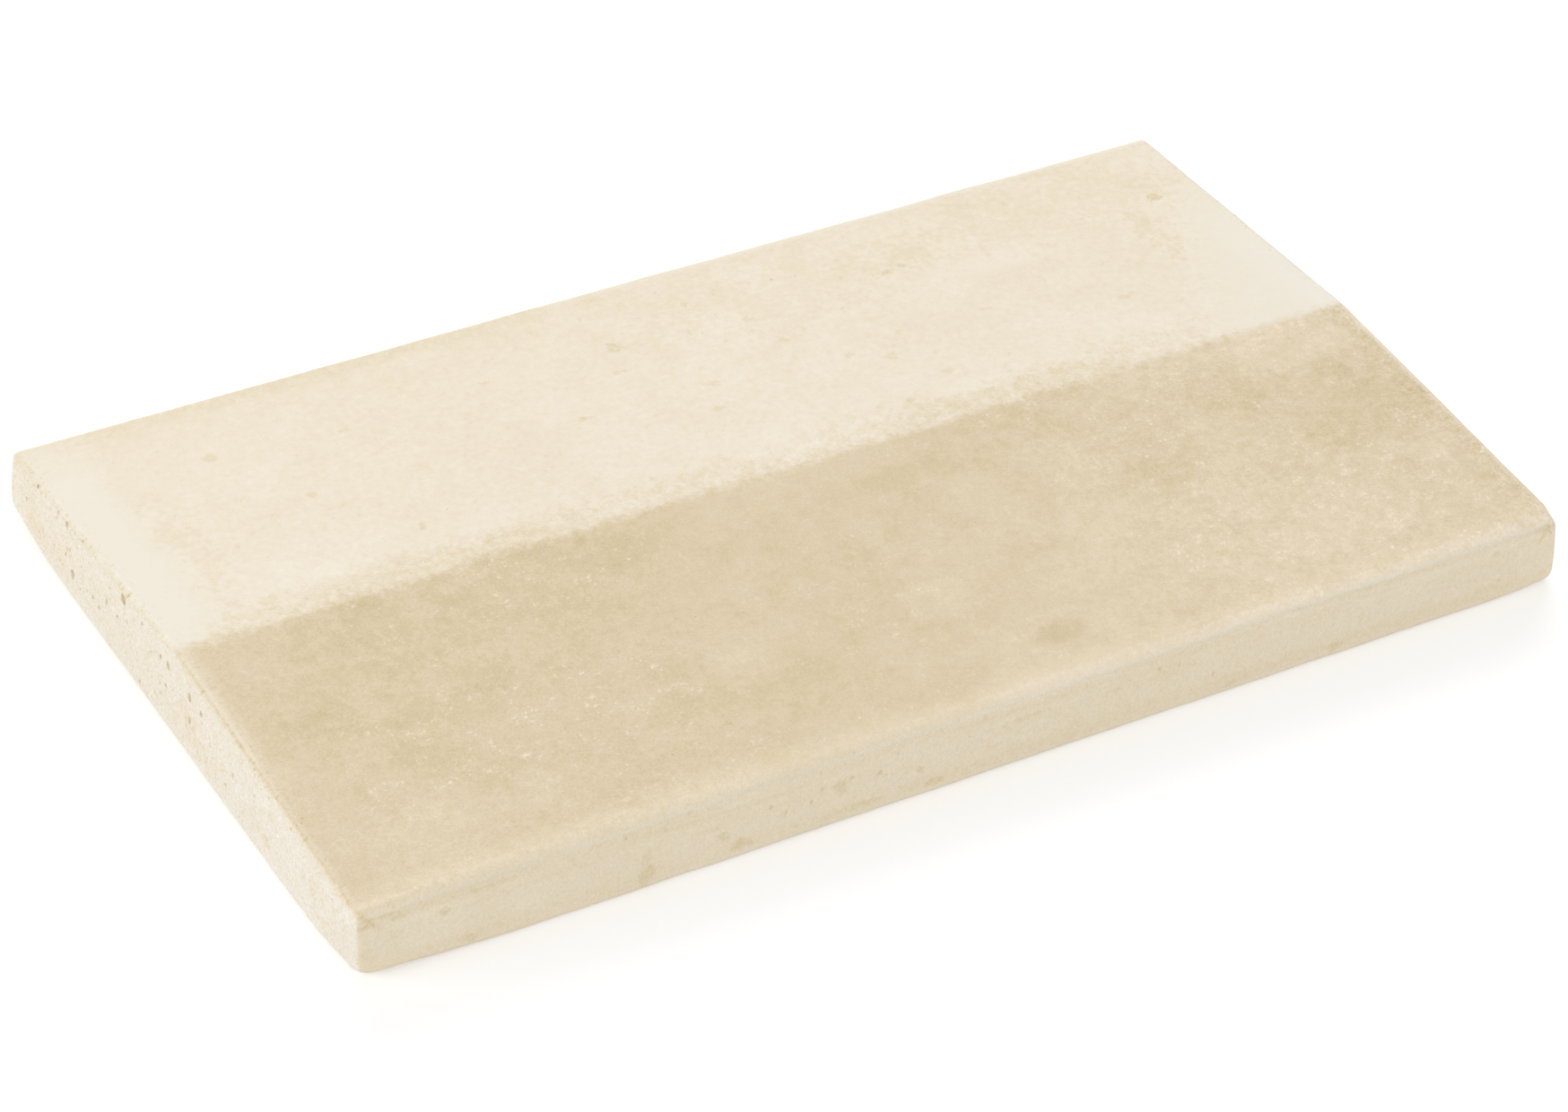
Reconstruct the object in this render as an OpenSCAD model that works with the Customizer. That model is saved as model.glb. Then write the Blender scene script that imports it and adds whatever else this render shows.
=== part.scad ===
// Double-slope wall coping: one slab of cast concrete with a shallow ridge
// along its length, a flat underside and rounded edges.
// The origin is the centre of the underside, +X runs along the slab and +Z is up.

/* [Slab] */
// Length of the underside, end to end
base_l = 490; // [300:1:1000]
// Width of the underside, side to side
base_w = 280; // [150:1:500]
// Height of the long edges, to where side and slope would meet
edge_h = 28; // [20:0.5:80]
// Rise of each slope, from the long edge up to the ridge
slope_rise = 7.5; // [2:0.5:30]

/* [Mould draft] */
// How far each end leans in between the underside and the long edges
end_draft = 1; // [0:0.25:6]
// How far each long side leans in between the underside and the long edges
side_draft = 3; // [0:0.25:6]

/* [Edges] */
// Radius of the long top edges
long_edge_r = 4.5; // [3:0.5:8]
// Radius of the top edges at the ends
end_edge_r = 2.5; // [1:0.5:3]
// Radius that eases the ridge
ridge_r = 45; // [10:1:120]
// Radius of the edge round the underside
base_edge_r = 3.5; // [1:0.5:6]
// Radius of the underside's corners, seen from above
base_corner_r = 8; // [6:0.5:30]

/* [Hidden] */

round_fn = 32;
long_edge_steps = 5;
ridge_steps = 6;

// Width between the long edges, inside the draft
top_w = base_w - 2 * side_draft;
slope_angle = atan(slope_rise / (top_w / 2));
// Height of the long edge's arc centre, from which the arc touches the slope
long_edge_z = edge_h + long_edge_r * (tan(slope_angle) - 1 / cos(slope_angle));
// Height of the ridge's arc centre, from which the arc touches both slopes
ridge_arc_z = edge_h + slope_rise - ridge_r / cos(slope_angle);
end_lean = end_draft / (long_edge_z - base_edge_r);

// Centres, as [y, z], of the balls that roll round the top of an end's outline
long_edge_spots = [
    for (side_y = [-1, 1], step = [0 : long_edge_steps])
        let (angle = 90 * step / long_edge_steps, reach = long_edge_r - end_edge_r)
            [side_y * (top_w / 2 - long_edge_r + reach * cos(angle)), long_edge_z + reach * sin(angle)]
];
ridge_spots = [
    for (step = [-ridge_steps / 2 : ridge_steps / 2])
        let (angle = 2 * slope_angle * step / ridge_steps, reach = ridge_r - end_edge_r)
            [reach * sin(angle), ridge_arc_z + reach * cos(angle)]
];

// Distance from the slab's middle to a ball's centre, on the leaning end
function ball_x(z) = base_l / 2 - end_edge_r - end_lean * (z - base_edge_r);

concrete = [0.88, 0.82, 0.70];

// Balls that round the top of both ends, and the long edges and ridge between them
module top_balls() {
    for (side_x = [-1, 1], spot = concat(long_edge_spots, ridge_spots))
        translate([side_x * ball_x(spot[1]), spot[0], spot[1]])
            sphere(r = end_edge_r, $fn = round_fn);
}

// One corner of the underside: a disc with a rounded rim, standing on its face
module base_corner() {
    rotate_extrude($fn = round_fn)
        intersection() {
            translate([base_corner_r - base_edge_r, base_edge_r])
                circle(r = base_edge_r, $fn = round_fn);
            square([base_corner_r, 2 * base_edge_r]);
        }
}

// The four corners of the underside
module base_corners() {
    for (side_x = [-1, 1], side_y = [-1, 1])
        translate([
            side_x * (base_l / 2 - base_corner_r),
            side_y * (base_w / 2 - base_corner_r),
            0
        ])
            base_corner();
}

// The whole casting
module coping() {
    color(concrete)
        hull() {
            base_corners();
            top_balls();
        }
}

coping();
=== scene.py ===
"""Studio scene of a double-slope wall coping: one slab of cream cast concrete.

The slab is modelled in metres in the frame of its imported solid: +X along the
ridge, +Y across the slab, +Z up from the flat underside.
"""

from __future__ import annotations

import logging
import math
import random
from dataclasses import dataclass, replace
from enum import Enum
from typing import Any, Callable, Iterable, Sequence

import bmesh
import bpy
import numpy as np
from mathutils import Matrix, Vector, noise

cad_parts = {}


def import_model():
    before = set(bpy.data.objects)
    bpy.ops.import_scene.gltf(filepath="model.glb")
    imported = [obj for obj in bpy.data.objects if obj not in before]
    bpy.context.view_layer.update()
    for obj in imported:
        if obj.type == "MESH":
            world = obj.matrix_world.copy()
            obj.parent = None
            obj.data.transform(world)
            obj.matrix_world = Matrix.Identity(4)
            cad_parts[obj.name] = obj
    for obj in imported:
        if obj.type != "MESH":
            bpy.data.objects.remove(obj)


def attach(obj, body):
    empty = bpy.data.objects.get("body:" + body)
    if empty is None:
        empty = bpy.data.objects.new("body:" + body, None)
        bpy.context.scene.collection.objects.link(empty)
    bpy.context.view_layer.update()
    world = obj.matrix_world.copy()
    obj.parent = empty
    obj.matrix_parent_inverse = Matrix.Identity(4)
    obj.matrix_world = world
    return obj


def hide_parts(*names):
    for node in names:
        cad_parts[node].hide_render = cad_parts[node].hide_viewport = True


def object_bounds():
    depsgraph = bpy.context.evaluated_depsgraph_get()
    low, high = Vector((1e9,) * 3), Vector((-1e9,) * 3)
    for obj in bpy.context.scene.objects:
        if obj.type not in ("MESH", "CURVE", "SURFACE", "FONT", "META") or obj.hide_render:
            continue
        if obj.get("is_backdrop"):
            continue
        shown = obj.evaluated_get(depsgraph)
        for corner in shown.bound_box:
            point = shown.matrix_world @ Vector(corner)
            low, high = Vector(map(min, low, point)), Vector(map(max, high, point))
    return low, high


LOG = logging.getLogger("coping")
MM = 0.001
WHITE = (1.0, 1.0, 1.0, 1.0)

Colour = tuple[float, float, float, float]
Settings = dict[str, Any]
Inputs = dict[str | int, Any]


# --------------------------------------------------------------------------
# Shader tools
# --------------------------------------------------------------------------


def math_operator(operation: str, reflected: bool = False) -> Callable[[Wire, Wire | float], Wire]:
    """A Wire's operator that adds one Math node.

    Args:
        operation: The node's operation.
        reflected: Whether the wire is the right side.

    Returns:
        The method.
    """

    def add_node(wire: Wire, other: Wire | float) -> Wire:
        """Adds the node on two values."""
        first, second = (other, wire) if reflected else (wire, other)
        return wire.bench.wire("ShaderNodeMath", {"operation": operation}, {0: first, 1: second})

    return add_node


class Wire:
    """A number in a node tree, on which Python's operators add Math nodes."""

    __add__ = math_operator("ADD")
    __radd__ = math_operator("ADD", reflected=True)
    __sub__ = math_operator("SUBTRACT")
    __rsub__ = math_operator("SUBTRACT", reflected=True)
    __mul__ = math_operator("MULTIPLY")
    __rmul__ = math_operator("MULTIPLY", reflected=True)
    __truediv__ = math_operator("DIVIDE")
    over = math_operator("GREATER_THAN")
    most = math_operator("MAXIMUM")
    least = math_operator("MINIMUM")

    def __init__(self, bench: Bench, socket: bpy.types.NodeSocket) -> None:
        """Wraps an output socket of the bench's tree."""
        self.bench = bench
        self.socket = socket

    def __abs__(self) -> Wire:
        """Size without its sign."""
        return self.bench.wire("ShaderNodeMath", {"operation": "ABSOLUTE"}, {0: self})

    def fade(self, start: float, end: float, top: float = 1.0) -> Wire:
        """Goes smoothly from 0 at start to a top value at end.

        Args:
            start: The value that gives 0.
            end: The value that gives the top; it may be less than start.
            top: What it reaches.

        Returns:
            The eased value, held between 0 and the top.
        """
        return self.bench.wire(
            "ShaderNodeMapRange",
            {"interpolation_type": "SMOOTHSTEP"},
            {"Value": self, "From Min": start, "From Max": end, "To Max": top},
        )


@dataclass(frozen=True)
class Spots:
    """A scatter of round spots on a flat sheet, in millimetres.

    Attributes:
        spacing: Distance between neighbours.
        smallest: Radius of the smallest.
        largest: Radius of the largest.
        share: Share of the places that hold one.
        shift: Moves the scatter, so that two of one spacing differ.
    """

    spacing: float
    smallest: float
    largest: float
    share: float
    shift: float = 0.0


@dataclass(frozen=True)
class Patch:
    """A cloudy patch on one face of the slab, in millimetres.

    Attributes:
        across: Its middle, along the face's first axis.
        along: Its middle, along the face's second axis.
        half_across: Half its extent on the first axis.
        half_along: Half its extent on the second axis.
        strength: How much lighter it is; a negative number is darker.
    """

    across: float
    along: float
    half_across: float
    half_along: float
    strength: float


def rows(kind: Callable[..., Any], *numbers: tuple[float, ...]) -> tuple[Any, ...]:
    """One object of a kind from each row of numbers."""
    return tuple(kind(*row) for row in numbers)


class Bench:
    """Makes the nodes of one material or world."""

    def __init__(self, tree: bpy.types.NodeTree) -> None:
        """Clears the tree to start from."""
        self.tree = tree
        tree.nodes.clear()

    def node(self, kind: str, settings: Settings, inputs: Inputs) -> bpy.types.Node:
        """Adds one node.

        Args:
            kind: The node's type.
            settings: Its properties, set first.
            inputs: Its sockets by name or number, each with a value, a Wire
                or an output socket.

        Returns:
            The new node.
        """
        made = self.tree.nodes.new(kind)
        for name, value in settings.items():
            setattr(made, name, value)
        for name, value in inputs.items():
            socket = made.inputs[name]
            source = value.socket if isinstance(value, Wire) else value
            if isinstance(source, bpy.types.NodeSocket):
                self.tree.links.new(source, socket)
            else:
                socket.default_value = source
        return made

    def wire(self, kind: str, settings: Settings, inputs: Inputs, output: str | int = 0) -> Wire:
        """Adds one node, as node() does, and wraps one of its outputs."""
        return Wire(self, self.node(kind, settings, inputs).outputs[output])

    def mix(
        self, factor: Wire | float, first: Any, second: Any, blend: str = "MIX"
    ) -> bpy.types.NodeSocket:
        """Mixes two colours.

        Args:
            factor: 0 gives the first, 1 the second.
            first: A colour or a colour socket.
            second: A colour or a colour socket.
            blend: The way of blending.

        Returns:
            The mixed colour's socket.
        """
        settings = {"data_type": "RGBA", "blend_type": blend, "clamp_factor": True}
        node = self.node("ShaderNodeMix", settings, {0: factor, 6: first, 7: second})
        return node.outputs[2]

    def split(self, vector: bpy.types.NodeSocket) -> tuple[Wire, Wire, Wire]:
        """Takes a vector or a colour apart into its three parts."""
        parts = self.node("ShaderNodeSeparateXYZ", {}, {"Vector": vector})
        return tuple(Wire(self, output) for output in parts.outputs)

    def spots(self, across: Wire, along: Wire, spots: Spots) -> Wire:
        """Scattered round spots on a sheet.

        Args:
            across: First coordinate on the sheet, in millimetres.
            along: Second coordinate on the sheet.
            spots: How large the spots are and how close together.

        Returns:
            1 within a spot and 0 outside, with a soft rim.
        """
        sheet = self.node("ShaderNodeCombineXYZ", {}, {0: across + spots.shift, 1: along})
        inputs = {"Vector": sheet.outputs[0], "Scale": 1.0 / spots.spacing}
        cells = self.node("ShaderNodeTexVoronoi", {"voronoi_dimensions": "2D"}, inputs)
        size, chance, _ = self.split(cells.outputs["Color"])
        radius = spots.smallest + (spots.largest - spots.smallest) * (size * size * size)
        reach = Wire(self, cells.outputs["Distance"]) * spots.spacing / radius
        return reach.fade(1.2, 0.55) * chance.over(1.0 - spots.share)

    def patch(self, sheet: bpy.types.NodeSocket, patch: Patch, ragged: Wire) -> Wire:
        """One soft-edged patch on a sheet.

        Args:
            sheet: The place on the sheet in millimetres, as a vector.
            patch: Its place, extent and strength.
            ragged: Noise about 0 that breaks up its edge.

        Returns:
            Its strength, fading to 0 outside.
        """
        spread = (1.0 / patch.half_across, 1.0 / patch.half_along, 0.0)
        start = (-patch.across * spread[0], -patch.along * spread[1], 0.0)
        inputs = {0: sheet, 1: spread, 2: start}
        moved = self.node("ShaderNodeVectorMath", {"operation": "MULTIPLY_ADD"}, inputs).outputs[0]
        settings = {"operation": "DOT_PRODUCT"}
        distance = self.wire("ShaderNodeVectorMath", settings, {0: moved, 1: moved}, "Value")
        return (distance + ragged).fade(1.5, 0.1, patch.strength)

    def patches(self, sheet: bpy.types.NodeSocket, patches: Sequence[Patch], ragged: Wire) -> Wire:
        """Several patches on a sheet, added up.

        Args:
            sheet: The place on the sheet in millimetres, as a vector.
            patches: The patches.
            ragged: Noise about 0 that breaks up their edges.

        Returns:
            The sum of their strengths.
        """
        total = self.patch(sheet, patches[0], ragged)
        for patch in patches[1:]:
            total = total + self.patch(sheet, patch, ragged)
        return total

    def clouds(
        self,
        place: bpy.types.NodeSocket,
        scale: float,
        detail: float,
        roughness: float,
        stretch: tuple[float, float, float] = (1.0, 1.0, 1.0),
        shift: float = 0.0,
    ) -> Wire:
        """Noise over a place.

        Args:
            place: The coordinates.
            scale: Features per metre.
            detail: Octaves of finer noise.
            roughness: Strength of the finer noise.
            stretch: Scale on each axis, under 1 for streaks along that axis.
            shift: Moves the pattern, so that two of one scale differ.

        Returns:
            Noise about 0.5.
        """
        inputs = {"Vector": place, "Location": (shift, shift, shift), "Scale": stretch}
        moved = self.node("ShaderNodeMapping", {}, inputs).outputs[0]
        inputs = {"Vector": moved, "Scale": scale, "Detail": detail, "Roughness": roughness}
        return self.wire("ShaderNodeTexNoise", {"noise_dimensions": "3D"}, inputs)


# --------------------------------------------------------------------------
# The slab
# --------------------------------------------------------------------------


class Face(Enum):
    """The faces of the slab that casting pits are scattered on."""

    LEFT_END = "left end"
    RIGHT_END = "right end"
    FRONT = "front"
    BACK = "back"
    FRONT_SLOPE = "front slope"
    BACK_SLOPE = "back slope"
    UNDERSIDE = "underside"
    LEFT_ARRIS = "left arris"
    RIGHT_ARRIS = "right arris"


@dataclass(frozen=True)
class Corner:
    """How one corner of the slab is worn.

    Attributes:
        side_x: -1 at the left end, 1 at the right end.
        side_y: -1 at the front, 1 at the back.
        upright: Radius of the upright edge at its top and at its foot.
        foot: How much the radius of the base edge grows at the corner.
        foot_reach: How far along the slab and across it that growth runs.
        arris: How much the radius of the top edges grows at the corner.
        arris_reach: How far along the slab that growth runs.
    """

    side_x: int
    side_y: int
    upright: tuple[float, float]
    foot: float
    foot_reach: tuple[float, float]
    arris: float
    arris_reach: float


@dataclass(frozen=True)
class PitField:
    """A scatter of casting pits on one face.

    Attributes:
        face: The face that they are in.
        count: How many there are.
        smallest: Radius of the smallest.
        largest: Radius of the largest.
        tall: Height over width, for pits drawn out up the face.
        lift: How far their centres stand out, in radii; a shallow pit's most.
    """

    face: Face
    count: int
    smallest: float
    largest: float
    tall: float = 1.0
    lift: float = 0.35


@dataclass(frozen=True)
class ConcreteFinish:
    """Cream cast concrete: cloudy, sandy and dry, with a little dirt, a back slope painted paler as painted
    light and sheen, and a painted highlight on its front edge.

    A tone is a change of colour along one line, from tan to pale cream: 1 is
    about a thirteenth lighter in red and a sixth lighter in blue, -1 as much
    darker. The rows of the patches hold their middle, half extents and tone.

    Attributes:
        front_slope_tan: The front slope, painted darker than the back slope as painted shade.
        lit_back_cream: The back slope, painted paler and greyer as painted light and sheen.
        lit_strip_cream: The pale strips on the back slope: a paler tint on top of the same painted light
            and sheen.
        end_cream: The end faces.
        end_tan: Their stains.
        end_rim: The front slope along its ends.
        face_cream: The long faces.
        worn_lit_edge_cream: The front edge, paler partly from wear and partly as a painted highlight.
        hollow_tan: The inside of the pits.
        front_dark: What a tone of -2.5 multiplies the front slope by.
        front_light: The same for a tone of 2.5.
        pale_dark: What a tone of -2.5 multiplies the other faces by.
        pale_light: The same for a tone of 2.5.
        roughness: Dry and dull all over.
        front_clouds: Cloudy patches of the front slope.
        fleck_fields: Where its pale flecks gather.
        back_marks: Cloudy patches of the back slope.
        back_spots: Its small brown spots.
        side_marks: Stains of the front face, by length and height.
        end_marks: Tan patches of the left end, by width and height.
    """

    front_slope_tan: Colour = (0.794, 0.661, 0.453, 1.0)
    lit_back_cream: Colour = (0.916, 0.818, 0.654, 1.0)
    lit_strip_cream: Colour = (0.940, 0.880, 0.759, 1.0)
    end_cream: Colour = (0.805, 0.742, 0.625, 1.0)
    end_tan: Colour = (0.800, 0.690, 0.520, 1.0)
    end_rim: Colour = (0.880, 0.768, 0.590, 1.0)
    face_cream: Colour = (0.791, 0.694, 0.525, 1.0)
    worn_lit_edge_cream: Colour = (0.899, 0.770, 0.556, 1.0)
    hollow_tan: Colour = (0.670, 0.555, 0.370, 1.0)
    front_dark: Colour = (0.797, 0.75, 0.58, 1.0)
    front_light: Colour = (1.203, 1.25, 1.42, 1.0)
    pale_dark: Colour = (0.820, 0.745, 0.540, 1.0)
    pale_light: Colour = (1.180, 1.255, 1.460, 1.0)
    roughness: float = 0.85
    front_clouds: tuple[Patch, ...] = rows(
        Patch,
        (172, -92, 78, 36, 0.68), (185, -14, 62, 18, 0.35), (209, -13, 32, 14, 0.8),
        (-140, -80, 36, 18, 0.4), (12, -82, 13, 12, 0.6), (66, -90, 28, 13, 0.45),
        (88, -69, 17, 12, 0.5), (52, -40, 14, 12, 0.45), (102, -38, 15, 9, 0.4),
        (-68, -84, 12, 9, 0.45), (-210, -106, 24, 24, 0.4), (-235, -90, 8, 30, 0.3),
        (-233, -32, 8, 24, -0.2), (-32, -18, 34, 7, 0.4), (205, -79, 12, 6, 0.7),
        (222, -87, 8, 6, 0.7), (212, -90, 24, 26, -0.28), (214, -58, 30, 18, -0.5),
        (214, -30, 9, 8, -0.5), (-200, -36, 20, 26, -0.5), (-172, -14, 34, 11, -0.15),
        (-156, -46, 16, 16, -0.2), (-178, -74, 24, 12, -0.25), (-84, -16, 10, 14, -0.22),
        (-118, -19, 22, 11, 0.42), (45, -20, 45, 7, -0.45), (-55, -97, 42, 12, -0.35),
        (-24, -88, 24, 28, 0.22), (42, -114, 12, 6, -0.7), (56, -72, 14, 8, -0.4),
        (45, -42, 46, 14, -0.3), (128, -58, 17, 12, -0.38), (168, -24, 24, 14, -0.3),
        (-212, -60, 20, 24, -0.2), (0, -6, 62, 9, 0.45), (-112, -80, 36, 28, 0.28),
        (166, -104, 32, 24, 0.35), (40, -98, 50, 16, -0.15),
    )
    fleck_fields: tuple[Patch, ...] = rows(
        Patch,
        (-150, -78, 64, 30, 1.0), (178, -98, 86, 42, 1.0), (-125, -20, 66, 26, 0.95),
        (-60, -119, 150, 10, 0.6), (0, -72, 62, 44, 0.55), (70, -6, 70, 7, 0.75),
        (180, -22, 70, 28, 0.75), (-18, -22, 24, 4, 0.7), (130, -38, 18, 36, 0.9),
        (-198, -76, 22, 32, 0.8),
    )
    back_marks: tuple[Patch, ...] = rows(
        Patch,
        (-214, 56, 8, 26, -0.32), (207, 72, 6, 18, -0.5), (145, 85, 34, 7, 0.35),
        (168, 108, 62, 22, -0.24), (60, 104, 60, 24, -0.16), (-200, 104, 26, 16, 0.2),
    )
    back_spots: tuple[Patch, ...] = rows(
        Patch,
        (221, 95, 3.2, 2.6, -1.6), (-183, 100, 2.8, 2.4, -1.0), (-20, 98, 2.8, 2.8, -1.0),
        (1, 60, 2.8, 2.4, -0.9), (-161, 63, 2.6, 2.2, -0.9), (98, 97, 3.6, 1.6, -0.9),
        (106, 98, 1.4, 2.6, -0.8), (119, 58, 4, 1.6, -0.8), (-133, 94, 2.6, 1.6, -0.8),
        (-74, 98, 2, 1.4, -0.9), (-26, 82, 3.2, 1.4, -0.8), (-135, 28, 1.6, 2, -1.1),
        (-52, 61, 4, 1.4, -0.7), (-5, 45, 3.4, 1.4, -0.7), (18, 111, 1.8, 1.8, -0.9),
        (35, 92, 3, 1.8, -0.7), (39, 73, 2.4, 1.4, -0.8), (56, 53, 2.2, 1.8, -0.9),
        (70, 46, 3, 1.8, -0.7), (83, 28, 3.2, 1.8, -0.8), (61, 18, 2, 1.4, -0.8),
        (170, 41, 3, 1.6, -0.8), (220, 62, 2.6, 1.6, -0.8),
    )
    side_marks: tuple[Patch, ...] = rows(
        Patch,
        (-236, 24.2, 7, 0.6, -0.9), (-241, 26.6, 2.4, 0.8, -0.8), (-241, 21.4, 2.6, 1.2, -0.9),
        (-229, 21.6, 2.8, 0.8, -1.0), (-213, 18.5, 2.8, 1.7, -1.5), (-204, 5, 3.4, 1.4, -0.9),
        (-193, 22.4, 8, 0.8, -0.6), (-137.5, 5.5, 3.6, 4, -0.9), (-137, 11, 2, 3.4, -0.7),
        (-107, 10.2, 2.6, 2.2, -1.3), (-101, 5.5, 5, 2.6, -1.1), (-62, 14.5, 2.6, 3.2, -1.1),
        (-30, 11, 2.2, 1.9, -1.1), (-25, 4.5, 4, 1.8, -0.9), (-55, 5.6, 12, 1.2, -0.6),
        (15, 18.2, 8, 1, -0.8), (145, 4.6, 4.4, 1.8, -0.8), (99, 4, 2.6, 1.4, -0.9),
        (215.5, 20.5, 2.4, 2, -1.2), (237, 24, 3.2, 1.1, -0.6), (83, 17, 1.9, 1.5, -1.0),
        (156, 12.7, 1.5, 1.7, -1.0), (-241, 10, 6, 3, -0.35), (-215, 15, 14, 9, 0.28),
        (-181, 12, 8, 9, 0.25), (60, 6, 150, 3, -0.2), (47, 18, 52, 8, -0.18), (165, 18, 26, 8, 0.15),
    )
    end_marks: tuple[Patch, ...] = rows(
        Patch,
        (112, 10, 12, 4.5, 0.42), (-115, 8, 5, 2.4, 0.6), (-107, 14, 4, 2.4, 0.5),
        (-35, 13, 5, 2.6, 0.7), (-13, 12, 14, 9, 0.38), (-72.5, 9, 3, 2, 0.8), (-77, 22, 5, 2, 0.6),
        (91, 15, 13, 6, 0.32), (-117, 17, 12, 5, 0.34), (64, 22, 14, 4, 0.22),
    )


class Concrete:
    """The slab's concrete as a node tree: places in millimetres, scales of noises per metre."""

    def __init__(self, finish: ConcreteFinish, slab: Coping) -> None:
        """Adds the noises, and works out which part of the slab a point is on.

        Args:
            finish: The colours and the marks.
            slab: The slab that it is for.
        """
        self.finish = finish
        self.material = bpy.data.materials.new("cream_cast_concrete")
        self.material.use_nodes = True
        self.bench = bench = Bench(self.material.node_tree)
        self.place = place = bench.node("ShaderNodeTexCoord", {}, {}).outputs["Object"]
        inputs = {"Vector": place, "Scale": 1.0 / MM}
        self.sheet = bench.node("ShaderNodeVectorMath", {"operation": "SCALE"}, inputs).outputs[0]
        self.x, self.y, self.z = x, y, z = bench.split(self.sheet)
        self.broad = bench.clouds(place, 11.0, 3.0, 0.5) - 0.5
        self.patchy = bench.clouds(place, 45.0, 4.0, 0.7, shift=3.0) - 0.5
        self.sandy = bench.clouds(place, 330.0, 3.0, 0.65, shift=7.0) - 0.5
        self.dusty = bench.clouds(place, 1100.0, 2.0, 0.6, shift=5.0) - 0.5
        self.ragged = ragged = self.sandy * 5.0 + self.patchy * 4.0

        # How far a point is in from the ends and from the sides, and below the slopes.
        rise = z - slab.base_edge_radius / MM
        self.from_end = slab.length / 2 / MM - slab.end_lean * rise - abs(x)
        self.from_side = slab.width / 2 / MM - slab.side_lean * rise - abs(y)
        self.below = slab.ridge_height / MM - slab.slope_fall * abs(y) - z
        # Which faces it is on: upright or sloping, end or long side, behind the ridge or not.
        inmost = self.from_side.least(self.from_end)
        self.upright = (self.below - inmost + ragged * 0.3).fade(-0.6, 1.8)
        self.on_end = (self.from_side - self.from_end + ragged * 0.3).fade(-0.7, 0.7)
        ridge_shift = x.fade(170.0, 215.0) * 1.5
        self.behind = (y + ridge_shift + ragged * 1.3).fade(-2.2, 4.6)
        self.near_front = y.fade(0.0, -60.0)
        self.leftward = x.fade(60.0, -60.0)
        self.strip_mask = self.pale_strips()

    def pale_strips(self) -> Wire:
        """The pale strips at the two ends and along the back edge.

        Returns:
            1 on them and 0 between them.
        """
        x, y, ragged = self.x, self.y, self.ragged
        left_edge = 0.0 - x - (14.0 - y).most(0.0) * 0.9 + ragged * 2.0
        right_edge = x + (100.0 - y).most(0.0) * 0.5 + ragged * 3.5
        right = right_edge.fade(222.0, 252.0, 0.55) + x.fade(220.0, 237.0) * y.fade(90.0, 48.0, 0.45)
        left = left_edge.fade(213.0, 232.0, 0.8) * (1.0 - y.fade(104.0, 120.0, 0.45))
        edge = y.fade(131.0, 133.0) * (x.fade(-60.0, 60.0, 0.35) + 0.08)
        return left.most(right).most(edge)

    def slope_colour(self) -> bpy.types.NodeSocket:
        """The slopes: tan in front, painted paler behind as painted light and sheen, paler along the ends,
        and paler at the front edge from wear and a painted highlight.

        Returns:
            The colour's socket.
        """
        finish, bench, ragged = self.finish, self.bench, self.ragged
        # Painted light and sheen: the back slope and its strips are painted paler and greyer than the front
        # slope.
        back = bench.mix(self.strip_mask, finish.lit_back_cream, finish.lit_strip_cream)
        slopes = bench.mix(self.behind, finish.front_slope_tan, back)
        rim = (self.from_end + ragged * 0.8).fade(9.0, 1.0) * self.leftward * self.y.fade(-95.0, -45.0)
        rim = rim.most((self.from_end + ragged * 0.3).fade(4.0, 1.4)) * (1.0 - self.behind) * 0.9
        slopes = bench.mix(rim, slopes, finish.end_rim)
        # Paler towards the front edge: partly wear, partly a painted highlight.
        worn = (self.from_side + ragged).fade(15.0, 0.0) * self.near_front * 0.7
        return bench.mix(worn, slopes, finish.worn_lit_edge_cream)

    def upright_colour(self) -> bpy.types.NodeSocket:
        """The upright faces: paler at the ends, tan at the foot and in stains.

        Returns:
            The colour's socket.
        """
        finish, bench, z, ragged = self.finish, self.bench, self.z, self.ragged
        on_side = 1.0 - self.on_end
        uprights = bench.mix(self.on_end, finish.face_cream, finish.end_cream)
        foot = (z + ragged * 0.7).fade(8.5, 5.5) * (z + ragged * 0.3).fade(3.4, 5.0)
        uprights = bench.mix(foot * on_side * 0.26, uprights, finish.front_slope_tan)
        sheet = bench.node("ShaderNodeCombineXYZ", {}, {0: self.y, 1: z}).outputs[0]
        stains = bench.patches(sheet, finish.end_marks, self.sandy * 4.0 + self.patchy * 2.0)
        stains = stains + self.below.fade(6.5, 1.5) * self.y.fade(-40.0, -80.0, 0.45)
        uprights = bench.mix(stains * self.on_end * self.leftward, uprights, finish.end_tan)
        # Paler at the top of the long faces, under the front edge: partly wear, partly a painted highlight.
        lip = (z + ragged * 0.4).fade(26.0, 29.0, 0.3) * on_side
        uprights = bench.mix(lip, uprights, finish.worn_lit_edge_cream)
        return bench.mix(z.fade(1.2, 0.2), uprights, finish.face_cream)

    def front_edge_highlight(self) -> Wire:
        """The painted highlight along the front top edge, partly also paler wear.

        Returns:
            The tone.
        """
        # Measured across the edge: below 0 on the slope, above 0 on the face.
        crest = self.below - self.from_side + self.ragged * 0.5
        at_crest = self.near_front * self.from_side.most(self.below).fade(11.0, 6.0)
        over = crest.fade(-4.8, -2.8) * crest.fade(-0.2, -1.8)
        full = crest.fade(-5.5, -2.0) * crest.fade(3.2, 0.6)
        foot = crest.fade(0.2, 1.2) * crest.fade(3.4, 2.0, 0.25)
        # The painted highlight over the rounded edge and the top of the face below it.
        highlight = full * (0.94 - self.leftward * 0.70) + over * (0.26 + self.leftward * 0.14) + foot * 1.5
        return highlight * at_crest

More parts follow.
